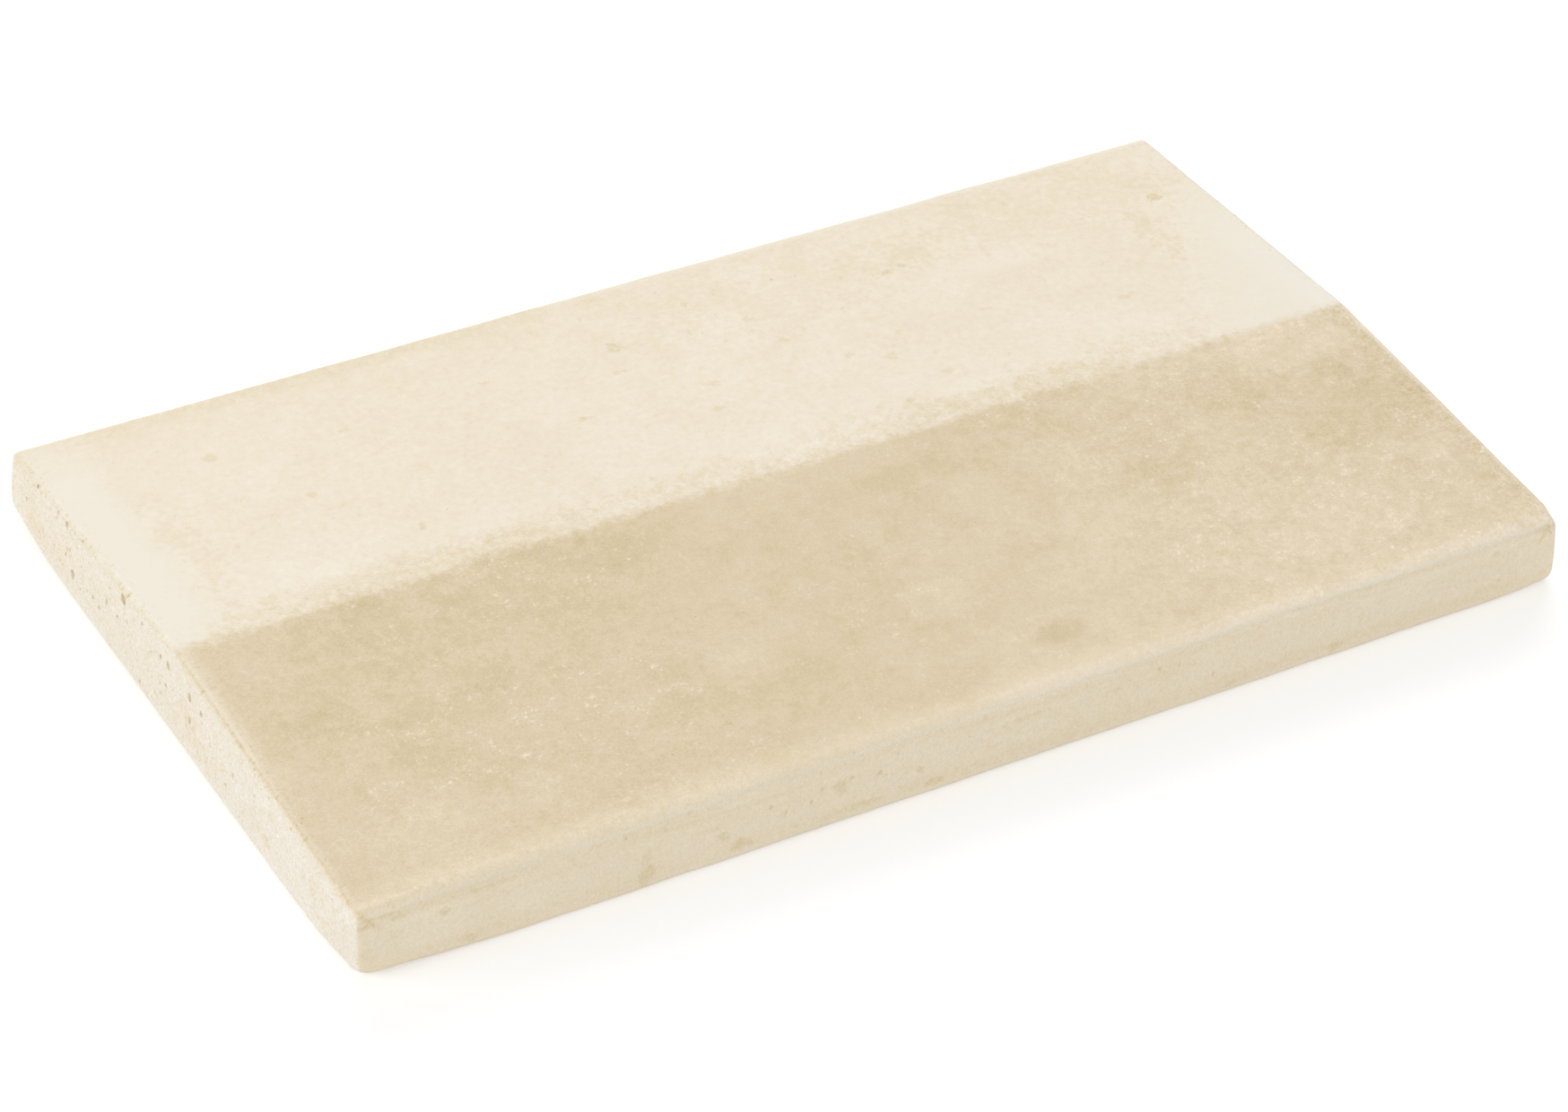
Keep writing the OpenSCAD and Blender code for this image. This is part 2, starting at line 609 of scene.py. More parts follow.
    def right_grime(self) -> Wire:
        """The darker, dusty strip of the front slope along the right end.

        Returns:
            How much darker it is.
        """
        grimy = (self.from_end + self.ragged).fade(13.0, 7.0) * (1.0 - self.leftward) * (1.0 - self.behind)
        grimy = grimy * self.from_end.fade(1.5, 4.0)
        return grimy * (1.0 - self.upright) * (0.26 - self.sandy * 2.6 - self.dusty * 1.6)

    def rim_sand_and_glint(self) -> Wire:
        """The tan sand along the top edges of the two ends, less a painted glint on their crest towards the
        front.

        Returns:
            How much darker it is, where the painted glint counts as lighter.
        """
        y, sandy, from_end = self.y, self.sandy, self.from_end
        rim = from_end.most(self.below).fade(11.0, 6.0)
        # Measured across the edge: above 0 on the slopes, below 0 on the end.
        outward = from_end - self.below
        drop = abs(outward - 0.2)
        near = (drop + sandy * 5.0).fade(3.4, 0.6) * (y.fade(0.0, 25.0, 0.20) + sandy * 3.0 + 0.50)
        around = (drop + sandy * 9.0).fade(7.0, 1.0)
        # A painted glint: a pale band on the slope side of the ends' top edges, towards the front.
        crest = abs(outward - 1.8).fade(1.4, 0.3) * y.fade(-85.0, -55.0)
        line = abs(outward - 0.3).fade(1.3, 0.3) * y.fade(0.0, -25.0)
        sheet = (y + sandy * 3.0, from_end - self.z + sandy * 3.0)
        grain = self.bench.spots(*sheet, Spots(2.2, 0.3, 0.75, 0.75, 300.0))
        glint = y.fade(0.0, -20.0, 0.5) + 0.4
        sand = near + line * (0.5 + sandy * 3.2) + around * grain * 1.3
        return rim * (sand + crest * (sandy * 2.0 - glint))

    def front_tone(self) -> Wire:
        """The clouds and flecks of the front slope.

        Returns:
            The tone.
        """
        bench, x, y, patchy, sandy = self.bench, self.x, self.y, self.patchy, self.sandy
        ragged = patchy * 5.0
        tone = self.broad * 1.8 + patchy * 2.0 + bench.patches(self.sheet, self.finish.front_clouds, ragged)
        # The fields in which pale flecks gather, then the flecks and grains themselves.
        cluster = patchy.fade(-0.05, 0.15, 0.4)
        for patch in self.finish.fleck_fields:
            cluster = cluster.most(bench.patch(self.sheet, patch, ragged))
        inputs = {"Vector": self.place, "Scale": (1.0, 1.0, 0.0)}
        flat = bench.node("ShaderNodeMapping", {}, inputs).outputs[0]
        fleck = bench.clouds(flat, 330.0, 4.0, 0.8, shift=11.0).fade(0.555, 0.63)
        jolt = sandy * 4.0
        grain = bench.spots(x + jolt, y + jolt, Spots(2.4, 0.35, 0.95, 0.5, 600.0))
        clump = bench.clouds(flat, 110.0, 3.0, 0.7, shift=4.0) - 0.5
        gathered = cluster * clump.fade(-0.05, 0.12)
        # The sand shows more towards the right end and less in the middle.
        rightward = x.fade(20.0, 130.0)
        calm = abs(x).fade(110.0, 50.0, 0.7)
        tone = tone + sandy * (2.7 - cluster * 0.8 + rightward * 0.7 - calm) + self.dusty * (3.0 - calm)
        tone = tone + gathered * (fleck * 2.5 + grain * 2.1) - cluster * 0.40
        tone = tone + clump * (cluster * 1.2 + 0.6) * (rightward * 0.5 + 1.0) + patchy * rightward * 0.6
        tone = tone + y.fade(-90.0, -112.0, 0.24)
        return tone - y.fade(-45.0, -6.0, 0.17) * (1.0 - x.fade(30.0, 80.0))

    def back_tone(self) -> Wire:
        """The spots, ridge sand and edge dirt of the back slope.

        Returns:
            The tone.
        """
        finish, bench, x, y = self.finish, self.bench, self.x, self.y
        patchy, sandy, dusty = self.patchy, self.sandy, self.dusty
        tone = self.broad * 0.6 + patchy * 1.4 + sandy * 1.7 + dusty
        tone = tone + y.fade(62.0, 14.0) * (0.25 - x.fade(20.0, 90.0, 0.09)) - y.fade(80.0, 128.0, 0.1)
        spot = bench.spots(x + patchy * 9.0, y + sandy * 9.0, Spots(24.0, 0.8, 2.0, 0.5))
        speck = bench.spots(x + sandy * 7.0, y + sandy * 7.0, Spots(6.0, 0.4, 1.1, 0.6, 400.0))
        tone = tone - spot * 0.6 - speck * 0.45
        tone = tone + bench.patches(self.sheet, finish.back_marks, (patchy + sandy) * 5.0)
        tone = tone + bench.patches(self.sheet, finish.back_spots, sandy * 5.0)
        # Tan sand just behind the ridge, thicker in two drifts.
        ridge_sand = (y + sandy * 14.0 + patchy * 7.0).fade(19.0, 7.0) * y.fade(-2.0, 5.0)
        along = (x + patchy * 60.0).fade(215.0, 160.0)
        left_drift = abs(x + 140.0).fade(100.0, 30.0, 0.42)
        right_drift = abs(x - 95.0).fade(80.0, 25.0, 0.50)
        drift = left_drift + right_drift + 0.36
        tone = tone - ridge_sand * along * (drift - sandy * 2.1 - dusty * 1.6)
        # Dirt grows in two steps towards the back edge, and is stronger on the left.
        edge = y + sandy * 8.0
        dirt = edge.fade(124.5, 129.0, 0.32) + edge.fade(130.5, 134.0, 0.34)
        dirt = dirt * ((x + patchy * 150.0).fade(0.0, -55.0, 0.7) + 0.3)
        specks = (sandy + dusty * 0.7) * 2.4 - 1.0
        return (tone + dirt * specks) * (1.0 - self.strip_mask.fade(0.0, 0.7, 0.8))

    def side_tone(self) -> Wire:
        """The stains and streaks of the two long faces.

        Returns:
            The tone.
        """
        bench, x, z, patchy, sandy = self.bench, self.x, self.z, self.patchy, self.sandy
        streak = bench.clouds(self.place, 420.0, 2.0, 0.5, (0.05, 1.0, 1.0), 2.0) - 0.5
        high = z.fade(13.0, 20.0)
        shape_x, shape_z = x + sandy * 7.0, z + patchy * 8.0
        stain = bench.spots(shape_x, shape_z, Spots(9.0, 0.5, 1.6, 0.55, 200.0))
        fleck = bench.spots(shape_x, shape_z, Spots(4.0, 0.3, 0.8, 0.5, 700.0))
        tone = patchy * 0.6 + sandy * 1.1 + self.dusty * 2.8 + streak * (high * 1.1 + 0.3)
        tone = tone - z.fade(10.0, 24.0) * (x.fade(0.0, -100.0) * 0.20 + 0.12)
        tone = tone - stain * (high * 0.2 + 0.35) - fleck * 0.35
        sheet = bench.node("ShaderNodeCombineXYZ", {}, {0: x, 1: z}).outputs[0]
        marks = bench.patches(sheet, self.finish.side_marks, sandy * 4.0 + patchy * 2.0)
        return tone + marks * self.y.fade(1.0, -1.0, 0.85)

    def end_tone(self) -> Wire:
        """The sand and grit of the two end faces.

        Returns:
            The tone.
        """
        y, sandy = self.y, self.sandy
        grit_y, grit_z = y + sandy * 4.0, self.z + sandy * 4.0
        sand = self.bench.spots(grit_y, grit_z, Spots(2.8, 0.25, 0.65, 0.75, 100.0))
        grit = self.bench.spots(grit_y, grit_z, Spots(11.0, 0.3, 1.1, 0.6, 500.0))
        tone = self.patchy * 1.2 + sandy * 1.9 + self.dusty * 5.2 - sand * 1.5 - grit * 1.5
        tone = tone + y.fade(10.0, -90.0) * 0.28 - y.fade(-100.0, -135.0) * 0.12
        return tone - y.fade(70.0, 115.0, 0.15) + self.z.fade(9.0, 3.0, 0.28)

    def tone(self) -> Wire:
        """The tones of all parts of the slab.

        Returns:
            The tone.
        """
        slopes = self.front_tone() * (1.0 - self.behind) + self.back_tone() * self.behind
        uprights = self.side_tone() * (1.0 - self.on_end) + self.end_tone() * self.on_end
        tone = slopes * (1.0 - self.upright) + uprights * self.upright
        return tone - self.rim_sand_and_glint() - self.right_grime() + self.front_edge_highlight()

    def make(self) -> bpy.types.Material:
        """Joins the colours, the tones and a fine relief to the shader.

        Returns:
            The concrete.
        """
        finish, bench = self.finish, self.bench
        zone = bench.mix(self.upright, self.slope_colour(), self.upright_colour())
        # Tones from -2.5 to 2.5 run from dark to light.
        pale = self.behind.most(self.upright)
        dark = bench.mix(pale, finish.front_dark, finish.pale_dark)
        light = bench.mix(pale, finish.front_light, finish.pale_light)
        shift = bench.mix(self.tone() * 0.2 + 0.5, dark, light)
        colour = bench.mix(1.0, zone, shift, "MULTIPLY")
        hollow = bench.wire("ShaderNodeAttribute", {"attribute_name": "hollow"}, {}, "Fac")
        colour = bench.mix(hollow.fade(0.05, 0.6, 0.9), colour, finish.hollow_tan)
        relief = {"Height": self.sandy * 0.6 + self.dusty * 0.4, "Strength": 0.2, "Distance": 0.15 * MM}
        normal = bench.node("ShaderNodeBump", {}, relief).outputs[0]
        inputs = {"Base Color": colour, "Roughness": finish.roughness, "Normal": normal}
        shader = bench.node("ShaderNodeBsdfPrincipled", {}, inputs)
        bench.node("ShaderNodeOutputMaterial", {}, {"Surface": shader.outputs[0]})
        return self.material


@dataclass(frozen=True)
class Pit:
    """One placed pit on an upright face, in millimetres.

    Attributes:
        across: Its place along the face.
        up: Its height.
        radius: Its radius at the surface.
    """

    across: float
    up: float
    radius: float


@dataclass(frozen=True)
class PitShape:
    """The shape of a pit.

    Attributes:
        mouth: Its radius at the surface, or how much that is widened.
        tall: Height over width.
        lift: How far the ball's centre stands out, in radii.
    """

    mouth: float
    tall: float
    lift: float


@dataclass
class Coping:
    """The cast slab, with its real edges, wear and casting pits.

    Attributes:
        length: Length of the underside.
        width: Width of the underside.
        top: Height of the eased ridge.
        edge_height: Height of the long edges, where side and slope would meet.
        ridge_height: Height where the slopes would meet.
        side_lean: How far a side leans in for each unit of height.
        end_lean: How far an end leans in for each unit of height.
        front_edge_radius: Radius of the long top edge at the front.
        back_edge_radius: Radius of the one at the back.
        left_edge_radius: Radius of the top edge at the left end.
        right_edge_radius: Radius of the top edge at the right end.
        ridge_radius: Radius that eases the ridge.
        base_edge_radius: Radius of the edge round the underside.
        least_radius: The tightest that wear leaves an edge.
        corner_blend: Length in which an end's edge turns into a long one.
        corners: The wear of the four corners.
        pit_fields: The scatters of pits.
        left_pits: The larger pits of the left end.
        front_pits: The shallow pits of the front.
        left_pit_shape: What the pits of the left end have in common.
        front_pit_shape: The same for those of the front.
        lift_spread: How much a pit's lift varies either way.
        pit_gap: Least distance of two pits, over the sum of their radii.
        sharp_angle: Angle in degrees from which an edge is shaded sharp.
        settle_rounds: How often a point is moved towards the surface.
        seed: Seed of the pits' places.
    """

    length: float
    width: float
    top: float
    edge_height: float = 28.0 * MM
    ridge_height: float = 35.5 * MM
    side_lean: float = 0.148
    end_lean: float = 0.0494
    front_edge_radius: float = 4.4 * MM
    back_edge_radius: float = 2.4 * MM
    left_edge_radius: float = 1.5 * MM
    right_edge_radius: float = 2.1 * MM
    ridge_radius: float = 45.0 * MM
    base_edge_radius: float = 2.5 * MM
    least_radius: float = 0.4 * MM
    corner_blend: float = 8.0 * MM
    corners: tuple[Corner, ...] = (
        Corner(-1, -1, (1.2 * MM, 9.5 * MM), 5.2 * MM, (35.0 * MM, 22.0 * MM), -2.2 * MM, 28.0 * MM),
        Corner(-1, 1, (2.8 * MM, 10.5 * MM), 6.0 * MM, (14.0 * MM, 26.0 * MM), 0.0, 10.0 * MM),
        Corner(1, -1, (2.3 * MM, 5.5 * MM), 3.0 * MM, (16.0 * MM, 10.0 * MM), 5.0 * MM, 10.0 * MM),
        Corner(1, 1, (2.5 * MM, 6.0 * MM), 3.0 * MM, (14.0 * MM, 12.0 * MM), 0.0, 10.0 * MM),
    )
    pit_fields: tuple[PitField, ...] = (
        PitField(Face.LEFT_END, 40, 0.35 * MM, 0.9 * MM, 1.2),
        PitField(Face.RIGHT_END, 70, 0.35 * MM, 1.6 * MM, 1.2),
        PitField(Face.LEFT_ARRIS, 40, 0.3 * MM, 0.7 * MM, 1.0, 0.55),
        PitField(Face.RIGHT_ARRIS, 40, 0.3 * MM, 0.7 * MM, 1.0, 0.55),
        PitField(Face.FRONT, 12, 0.35 * MM, 0.7 * MM, 1.0, 0.78),
        PitField(Face.BACK, 40, 0.3 * MM, 1.0 * MM),
        PitField(Face.FRONT_SLOPE, 14, 0.3 * MM, 0.5 * MM),
        PitField(Face.BACK_SLOPE, 14, 0.3 * MM, 0.5 * MM),
        PitField(Face.UNDERSIDE, 60, 0.5 * MM, 1.6 * MM),
    )
    left_pits: tuple[Pit, ...] = rows(
        Pit,
        (113, 29, 0.9), (88, 28.8, 1.3), (41, 29.2, 1.8), (11, 26.2, 0.9), (5, 26.6, 1.4),
        (-12, 25.3, 1.4), (-21, 25, 1.1), (82, 10.8, 1.6), (6, 17.3, 1), (-13, 16.3, 1),
        (-46, 17.3, 1.2), (-89, 27.4, 1), (-67, 27, 0.8), (-63, 21, 0.8), (54, 18.7, 1),
        (45, 18.7, 0.8), (87, 18.6, 0.8), (88, 15.8, 0.8), (122, 16.5, 0.9), (60, 12, 0.7),
        (14, 8.2, 0.7), (-20, 7.3, 0.7), (-12, 30, 0.9), (-44, 30.6, 0.8), (95.5, 29, 0.7),
        (75, 31, 0.6), (26, 29.5, 0.8), (52, 26.5, 0.5), (84.5, 20, 0.6), (75, 19, 0.5),
        (98, 12.5, 0.6), (92.5, 10, 0.6), (70, 12.2, 0.8), (65, 13, 0.7), (75.5, 9, 0.5),
        (-33, 29, 0.5), (-55, 15.5, 0.5), (-64, 25.3, 0.5), (-60.5, 32, 1.2),
    )
    front_pits: tuple[Pit, ...] = rows(
        Pit,
        (-166, 24, 0.8), (-162.5, 24, 0.7), (-144.5, 24, 0.7), (-149.5, 17, 0.8), (-129.5, 22, 0.8),
        (-125, 20, 0.8), (-110, 15, 0.9), (-108, 17.5, 0.8), (-89, 16.5, 0.8), (-83, 12, 1.3),
        (-73, 13, 0.7), (-69, 16.5, 0.8), (-69.5, 24, 0.7), (-57, 17.5, 0.8), (-46, 16, 0.9),
        (-38.5, 21.7, 0.7), (-35.5, 21.7, 0.7), (4, 17, 0.8), (13.5, 23.8, 0.8), (28.5, 23, 0.8),
        (38.5, 23, 1.1), (39.5, 17.7, 0.8), (53.5, 24.6, 0.7), (56, 19.7, 0.9), (64.5, 24, 0.8),
        (68.5, 19.8, 0.8), (77, 19.5, 0.8), (78, 24.2, 0.7), (86, 23, 0.9), (92, 10.3, 0.9),
        (131.5, 17, 0.8), (143.5, 13.8, 0.8), (151.5, 8.7, 0.8), (158.5, 23.2, 0.8), (218, 9.3, 0.9),
    )
    left_pit_shape: PitShape = PitShape(1.02, 1.2, 0.26)
    front_pit_shape: PitShape = PitShape(1.1, 1.0, 0.78)
    lift_spread: float = 0.15
    pit_gap: float = 1.35
    sharp_angle: float = 38.0
    settle_rounds: int = 6
    seed: int = 11

    # ---- shape -----------------------------------------------------------

    def slope_height(self, y: np.ndarray) -> np.ndarray:
        """Height of the slopes over the underside.

        Args:
            y: Places across the slab.

        Returns:
            The height at each, with the ridge eased.
        """
        fall = self.slope_fall
        ease = self.ridge_radius * fall
        return self.ridge_height - fall * np.sqrt(y * y + ease * ease)

    @property
    def top_half_width(self) -> float:
        """Half the width at the long edges."""
        return self.width / 2 - self.side_lean * (self.edge_height - self.base_edge_radius)

    @property
    def slope_fall(self) -> float:
        """Fall of a slope for each unit across."""
        return (self.ridge_height - self.edge_height) / self.top_half_width

    @staticmethod
    def rounded_meet(first: np.ndarray, second: np.ndarray, radius: np.ndarray | float) -> np.ndarray:
        """Distance outside two sides at once, from that outside each, with their edge rounded."""
        inner = np.minimum(np.maximum(first, second), -radius)
        return inner + np.hypot(np.maximum(first + radius, 0.0), np.maximum(second + radius, 0.0))

    def edge_radii(self, spots: np.ndarray) -> tuple[np.ndarray, np.ndarray, np.ndarray]:
        """Radii of the edges nearest to each spot.

        Args:
            spots: Points, one to a row.

        Returns:
            Radius of the upright edge, of the long top edge and of the base
            edge for each.
        """
        x, y = spots[:, 0], spots[:, 1]
        upright = np.zeros(len(spots))
        arris = np.where(y < 0, self.front_edge_radius, self.back_edge_radius)
        base = np.full(len(spots), self.base_edge_radius)
        rise = np.clip(spots[:, 2] / self.edge_height, 0.0, 1.0)
        for corner in self.corners:
            here = (x * corner.side_x >= 0) & (y * corner.side_y >= 0)
            to_end = self.length / 2 - np.abs(x)
            to_side = self.width / 2 - np.abs(y)
            top, foot = corner.upright
            upright[here] = top + (foot - top) * (1.0 - rise[here]) ** 3
            near = (to_end / corner.foot_reach[0]) ** 2 + (to_side / corner.foot_reach[1]) ** 2
            base += np.where(here, corner.foot * np.exp(-near), 0.0)
            arris += np.where(here, corner.arris * np.exp(-((to_end / corner.arris_reach) ** 2)), 0.0)
        return upright, arris, base

    def outside(self, spots: np.ndarray, wear: np.ndarray) -> np.ndarray:
        """Distance of each point outside the slab's surface.

        Args:
            spots: Points, one to a row.
            wear: Extra radius of the edges at each point.

        Returns:
            The distances, negative inside.
        """
        x, y, z = np.abs(spots[:, 0]), np.abs(spots[:, 1]), spots[:, 2]
        upright_radius, arris_radius, base_radius = self.edge_radii(spots)
        above = z - self.base_edge_radius
        end = (x - self.length / 2 + self.end_lean * above) / math.hypot(1.0, self.end_lean)
        side = (y - self.width / 2 + self.side_lean * above) / math.hypot(1.0, self.side_lean)
        slope = (z - self.slope_height(spots[:, 1])) / math.hypot(1.0, self.slope_fall)
        upright = self.rounded_meet(end, side, upright_radius)
        blend = np.clip((side - end) / self.corner_blend * 0.5 + 0.5, 0.0, 1.0)
        end_radius = np.where(spots[:, 0] < 0, self.left_edge_radius, self.right_edge_radius)
        top_radius = end_radius + (arris_radius - end_radius) * blend
        body = self.rounded_meet(upright, slope, np.maximum(top_radius + wear, self.least_radius))
        return self.rounded_meet(body, -z, np.maximum(base_radius + wear, self.least_radius))

    def steepest(self, spots: np.ndarray, wear: np.ndarray) -> np.ndarray:
        """Outward direction of the surface near each point.

        Args:
            spots: Points, one to a row.
            wear: Extra radius of the edges at each point.

        Returns:
            A unit vector for each.
        """
        step = 0.02 * MM
        slopes = []
        for axis in range(3):
            offset = np.zeros(3)
            offset[axis] = step
            ahead, astern = self.outside(spots + offset, wear), self.outside(spots - offset, wear)
            slopes.append(ahead - astern)
        normals = np.stack(slopes, axis=1)
        lengths = np.linalg.norm(normals, axis=1, keepdims=True)
        return normals / np.maximum(lengths, 1e-12)

    def settle(self, spots: np.ndarray, swell: np.ndarray, wear: np.ndarray) -> np.ndarray:
        """Moves points onto the slab's surface.

        Args:
            spots: Points near the surface, one to a row.
            swell: How far the surface stands proud of its plain shape at each.
            wear: Extra radius of the edges at each.

        Returns:
            The moved points.
        """
        for _ in range(self.settle_rounds):
            gap = self.outside(spots, wear) - swell
            spots = spots - gap[:, None] * self.steepest(spots, wear)
        return spots

    # ---- mesh ------------------------------------------------------------

    @staticmethod
    def stations(
        start: float, end: float, zones: Sequence[tuple[float, float]], middle: float
    ) -> list[float]:
        """Cut places between two edges, closer together near both.

        Args:
            start: Place of the first edge.
            end: Place of the last edge.
            zones: From each edge inwards, a width and the step in it.
            middle: Longest step between the zones.

        Returns:
            The places, without the two edges.
        """
        offsets: list[float] = []
        reach = 0.0
        for width, step in zones:
            parts = max(1, round(width / step))
            offsets += [reach + width * part / parts for part in range(1, parts + 1)]
            reach += width
        span = end - start - 2 * reach
        parts = max(1, math.ceil(span / middle))
        inner = [start + reach + span * part / parts for part in range(1, parts)]
        last = [end - offset for offset in reversed(offsets)]
        return [start + offset for offset in offsets] + inner + last

    def blank(self) -> bmesh.types.BMesh:
        """A block cut into a grid that is finer at its edges and ridge.

        Returns:
            The block, of unit height, as wide and long as the underside.
        """
        bm = bmesh.new()
        bmesh.ops.create_cube(bm, size=1.0)
        bmesh.ops.scale(bm, vec=(self.length, self.width, 1.0), verts=bm.verts)
        bmesh.ops.translate(bm, vec=(0.0, 0.0, 0.5), verts=bm.verts)
        edge_zones = ((5.0 * MM, 0.75 * MM), (10.0 * MM, 1.4 * MM))
        widest = 3.0 * MM
        half_l, half_w = self.length / 2, self.width / 2
        cuts = [((1, 0, 0), x) for x in self.stations(-half_l, half_l, edge_zones, widest)]
        ridge_zone, ridge_parts = 7.0 * MM, 7
        side_cuts = self.stations(-half_w, half_w, edge_zones, widest)
        ridge_cuts = [ridge_zone * part / ridge_parts for part in range(-ridge_parts, ridge_parts + 1)]
        side_cuts = [y for y in side_cuts if abs(y) > ridge_zone] + ridge_cuts
        cuts += [((0, 1, 0), y) for y in side_cuts]
        upright_zone, highest = (0.18, 0.026), 0.07  # shares of the height
        cuts += [((0, 0, 1), z) for z in self.stations(0.0, 1.0, (upright_zone,), highest)]
        for normal, place in cuts:
            spot = Vector(normal) * place
            geometry = bm.verts[:] + bm.edges[:] + bm.faces[:]
            bmesh.ops.bisect_plane(bm, geom=geometry, dist=1e-7, plane_co=spot, plane_no=normal)
        return bm

    def unevenness(self, spots: np.ndarray) -> tuple[np.ndarray, np.ndarray]:
        """The casting's slight waves, and the wear of its edges.

        Args:
            spots: Points, one to a row.

        Returns:
            How far the surface stands proud at each point, and the extra
            radius of the edges there.
        """
        swell = np.empty(len(spots))
        wear = np.empty(len(spots))
        for index, spot in enumerate(spots):
            # Slow waves, quick ones and a fine grain, in shares of a millimetre.
            place = Vector(spot)
            slow = noise.noise(place * 11.0)
            quick = noise.noise(place * 55.0 + Vector((5.0, 1.0, 2.0)))
            fine = noise.noise(place * 190.0 + Vector((2.0, 8.0, 4.0)))
            swell[index] = (0.20 * slow + 0.07 * quick + 0.03 * fine) * MM
            wear[index] = (0.5 * noise.noise(place * 36.0) + 0.35 * quick + 0.25 * fine) * MM
        flat_foot, sunk = 6.0 * MM, 0.05 * MM
        low = np.clip(spots[:, 2] / flat_foot, 0.0, 1.0)
        return (swell - sunk) * low, wear

    def body(self) -> bpy.types.Object:
        """The slab without its pits.

        Returns:
            The object, linked to the scene.
        """
        bm = self.blank()
        spots = np.array([vert.co[:] for vert in bm.verts])
        above = spots[:, 2] * self.edge_height - self.base_edge_radius
        half_l, half_w = self.length / 2, self.width / 2
        spots[:, 0] *= 1 - self.end_lean * above / half_l
        spots[:, 1] *= 1 - self.side_lean * above / half_w
        spots[:, 2] *= self.slope_height(spots[:, 1])
        swell, wear = self.unevenness(spots)
        spots = self.settle(spots, swell, wear)
        limit = np.array((half_l, half_w, self.top))
        spots = np.clip(spots, (-half_l, -half_w, 0.0), limit)
        for vert, spot in zip(bm.verts, spots):
            vert.co = spot
        bmesh.ops.recalc_face_normals(bm, faces=bm.faces)
        return linked_object("coping_casting", bm)

    def mark_hollows(self, mesh: bpy.types.Mesh) -> None:
        """Stores how deep each vertex lies under the plain surface.

        Args:
            mesh: The finished mesh, which gets the attribute "hollow" in
                millimetres.
        """
        spots = np.empty(len(mesh.vertices) * 3)
        mesh.vertices.foreach_get("co", spots)
        spots = spots.reshape(-1, 3)
        swell, wear = self.unevenness(spots)
        slightest, deepest = 0.05, 3.0
        depth = np.clip((swell - self.outside(spots, wear)) / MM, 0.0, deepest)
        depth[depth < slightest] = 0.0
        hollow = mesh.attributes.new("hollow", "FLOAT", "POINT")
        hollow.data.foreach_set("value", depth.astype(np.float32))

    # ---- pits ------------------------------------------------------------

    def spot_on(self, face: Face, rng: random.Random) -> np.ndarray:
        """A random point on a face.

        Args:
            face: The face.
            rng: The source of chance.

        Returns:
            The point, near the surface.
        """
        margin, foot = 8.0 * MM, 3.0 * MM
        across = rng.uniform(-self.width / 2 + margin, self.width / 2 - margin)
        along = rng.uniform(-self.length / 2 + margin, self.length / 2 - margin)
        up = rng.uniform(foot, self.edge_height - foot)
        sign = -1 if face in (Face.LEFT_END, Face.FRONT, Face.FRONT_SLOPE, Face.LEFT_ARRIS) else 1
        if face in (Face.LEFT_END, Face.RIGHT_END):
            gable = 1.1  # the ends are taller than the sides
            return np.array((sign * self.length / 2, across, up * gable))
        if face in (Face.LEFT_ARRIS, Face.RIGHT_ARRIS):
            return np.array((sign * self.length / 2, across, self.ridge_height))
        if face in (Face.FRONT, Face.BACK):
            return np.array((along, sign * self.width / 2, up))
        if face == Face.UNDERSIDE:
            return np.array((along, across, 0.0))
        clear_of_ridge, widened = 10.0 * MM, 1.6
        from_ridge = abs(across) / 2 + clear_of_ridge
        return np.array((along, sign * from_ridge * widened, self.edge_height))

    def cutters(self) -> bpy.types.Object:
        """The pits, as small uneven balls half sunk into the slab.

        Returns:
            One object of separate balls.
        """
        rng = random.Random(self.seed)
        bm = bmesh.new()
        taken: list[tuple[Vector, float]] = []
        for pit in self.left_pits:
            spot = np.array([[-self.length / 2, pit.across * MM, pit.up * MM]])
            shape = replace(self.left_pit_shape, mouth=pit.radius * MM * self.left_pit_shape.mouth)
            self.sink(bm, spot, shape, taken, rng)
        for pit in self.front_pits:
            spot = np.array([[pit.across * MM, -self.width / 2, pit.up * MM]])
            shape = replace(self.front_pit_shape, mouth=pit.radius * MM * self.front_pit_shape.mouth)
            self.sink(bm, spot, shape, taken, rng)
        for pit_field in self.pit_fields:
            made = 0
            while made < pit_field.count:
                spot = self.spot_on(pit_field.face, rng)[None, :]
                size = pit_field.smallest + (pit_field.largest - pit_field.smallest) * rng.random() ** 3
                shape = PitShape(size, pit_field.tall, pit_field.lift)
                made += self.sink(bm, spot, shape, taken, rng)
        return linked_object("pit_cutters", bm)

    def sink(
        self,
        bm: bmesh.types.BMesh,
        spot: np.ndarray,
        shape: PitShape,
        taken: list[tuple[Vector, float]],
        rng: random.Random,
    ) -> bool:
        """Sinks one ball into the surface, unless another is in its way.

        Args:
            bm: The mesh to add it to.
            spot: A point near the surface, as a row.
            shape: The pit's shape.
            taken: Place and radius of the balls so far, which it joins.
            rng: The source of chance.

        Returns:
            Whether it was added.
        """
        none = np.zeros(1)
        spot = self.settle(spot, none, none)
        outward = Vector(self.steepest(spot, none)[0])
        lift = shape.lift + rng.uniform(-self.lift_spread, self.lift_spread)
        radius = shape.mouth / math.sqrt(1.0 - lift * lift)
        centre = Vector(spot[0]) + outward * radius * lift
        if any((centre - other).length < self.pit_gap * (radius + reach) for other, reach in taken):
            return False
        taken.append((centre, radius))
        self.add_ball(bm, centre, radius, shape.tall, rng)
        return True

